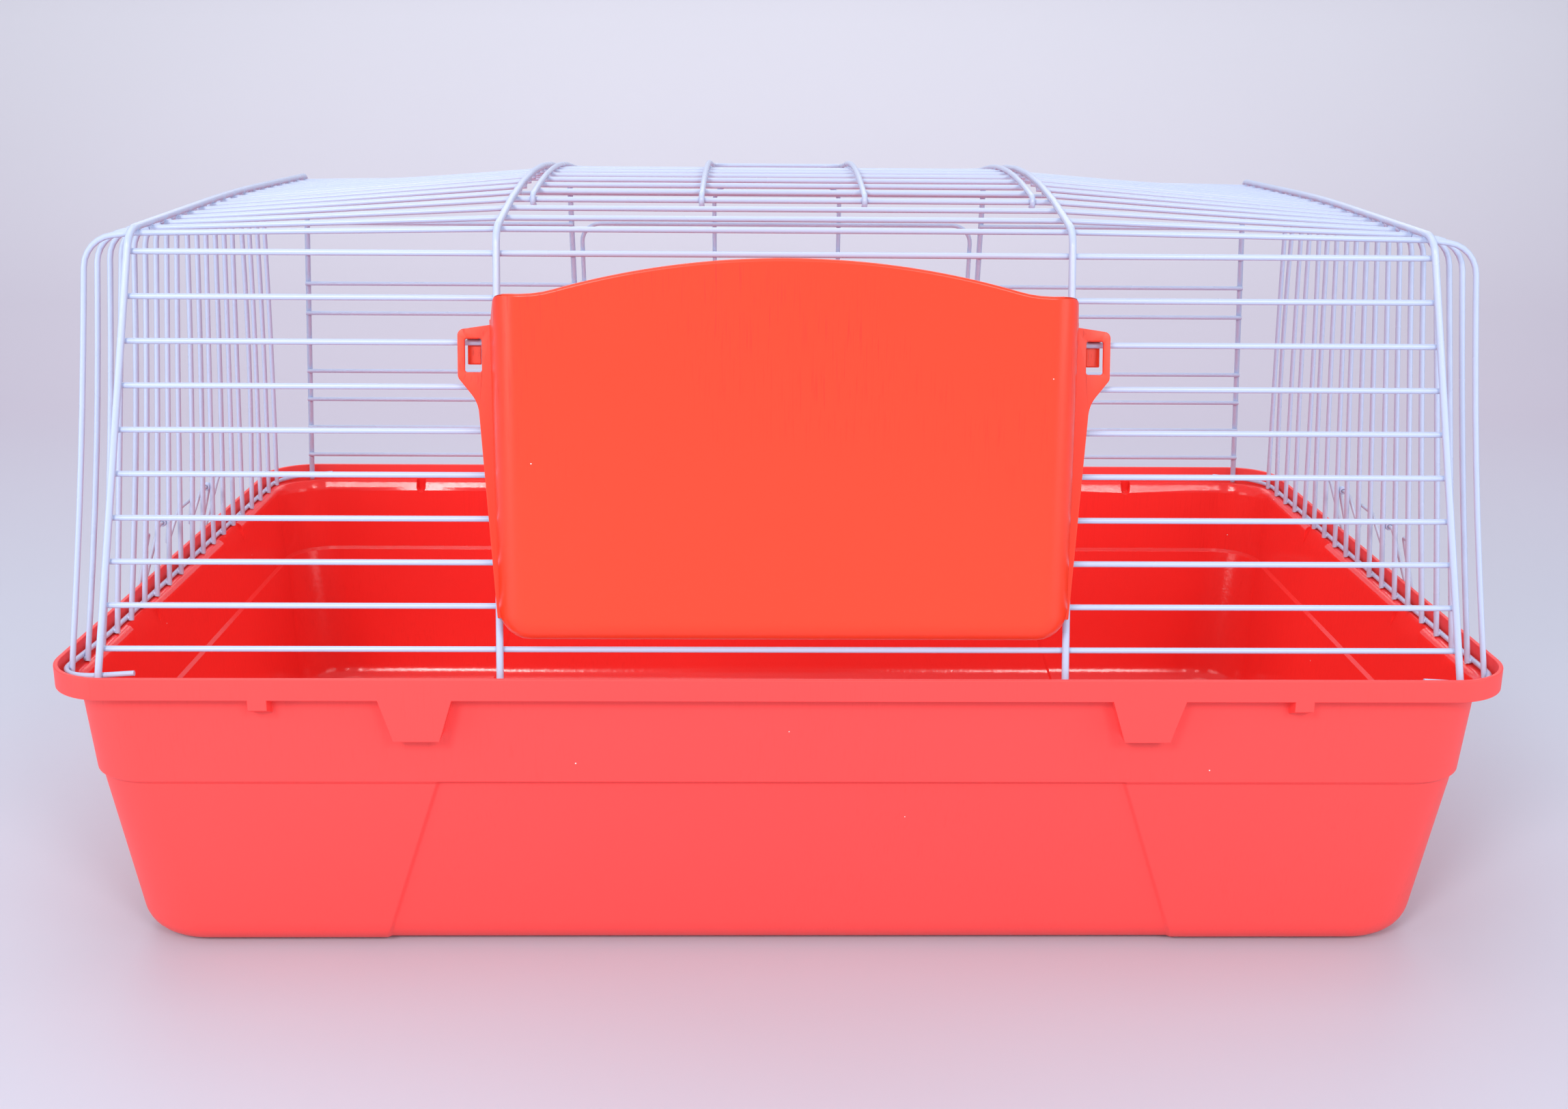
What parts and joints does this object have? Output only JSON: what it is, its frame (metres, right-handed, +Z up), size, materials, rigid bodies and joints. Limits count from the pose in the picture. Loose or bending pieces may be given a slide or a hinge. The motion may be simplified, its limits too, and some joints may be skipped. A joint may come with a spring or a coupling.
{
  "type": "rabbit cage",
  "caption": "Small-animal cage: a deep moulded tray under a domed wire top with a roof hatch, a drop-down far door, a hay feeder hung on the near wall and wire clips at the ends.",
  "frame": {"origin": "middle of the tray's underside, where the cage stands", "axes": "+X along the tray's length, +Y from the feeder side to the door side, +Z up"},
  "size_m": [0.8146, 0.505, 0.4301],
  "materials": {
    "tray_plastic": "moulded, satin to glossy",
    "feeder_plastic": "moulded, satin to glossy",
    "coated_wire": "smooth powder coat",
    "clip_wire": "smooth powder coat on spring wire"
  },
  "bodies": {
    "cage": {"back_bar_01": "coated_wire", "back_bar_02": "coated_wire", "back_bar_10": "coated_wire", "back_side_bars_left": "coated_wire", "back_side_bars_right": "coated_wire", "base_tray": "tray_plastic", "clip_eyes_left": "coated_wire", "clip_eyes_right": "coated_wire", "end_base_wire_left": "coated_wire", "end_base_wire_right": "coated_wire", "end_frame_left": "coated_wire", "end_frame_right": "coated_wire", "end_uprights_left": "coated_wire", "end_uprights_right": "coated_wire", "front_bar_01": "coated_wire", "front_bar_02": "coated_wire", "front_bar_03": "coated_wire", "front_bar_04": "coated_wire", "front_bar_05": "coated_wire", "front_bar_06": "coated_wire", "front_bar_07": "coated_wire", "front_bar_08": "coated_wire", "front_bar_09": "coated_wire", "front_bar_10": "coated_wire", "mid_arch_left": "coated_wire", "mid_arch_right": "coated_wire", "roof_bar_01": "coated_wire", "roof_bar_02": "coated_wire", "roof_bar_03": "coated_wire", "roof_bar_16": "coated_wire", "roof_bar_17": "coated_wire", "roof_hinge_bar": "coated_wire", "roof_side_bars_left": "coated_wire", "roof_side_bars_right": "coated_wire"},
    "roof_hatch": {"hatch_frame": "coated_wire", "hatch_latch_loop": "coated_wire", "hatch_bars": "coated_wire"},
    "back_door": {"door_frame": "coated_wire", "door_latch_loop": "coated_wire", "door_bars": "coated_wire"},
    "feeder": {"hay_feeder": "feeder_plastic"},
    "clip_left": {"rim_clip_left": "clip_wire"},
    "clip_right": {"rim_clip_right": "clip_wire"}
  },
  "joints": [
    {"name": "hatch_hinge", "type": "hinge", "parent": "cage", "child": "roof_hatch", "pos_m": [0, -0.113, 0.41693], "axis": [1, 0, 0], "range_deg": [0, 150]},
    {"name": "door_hinge", "type": "hinge", "parent": "cage", "child": "back_door", "pos_m": [0, 0.22898, 0.2106], "axis": [-1, 0, 0], "range_deg": [0, 140]},
    {"name": "feeder_lift", "type": "slide", "parent": "cage", "child": "feeder", "axis": [0, 0.1977, 0.9803], "range_m": [0, 0.015]},
    {"name": "clip_left_hinge", "type": "hinge", "parent": "cage", "child": "clip_left", "pos_m": [-0.39274, 0, 0.2075], "axis": [0, 1, 0], "range_deg": [0, 115]},
    {"name": "clip_right_hinge", "type": "hinge", "parent": "cage", "child": "clip_right", "pos_m": [0.39274, 0, 0.2075], "axis": [0, -1, 0], "range_deg": [0, 115]}
  ]
}
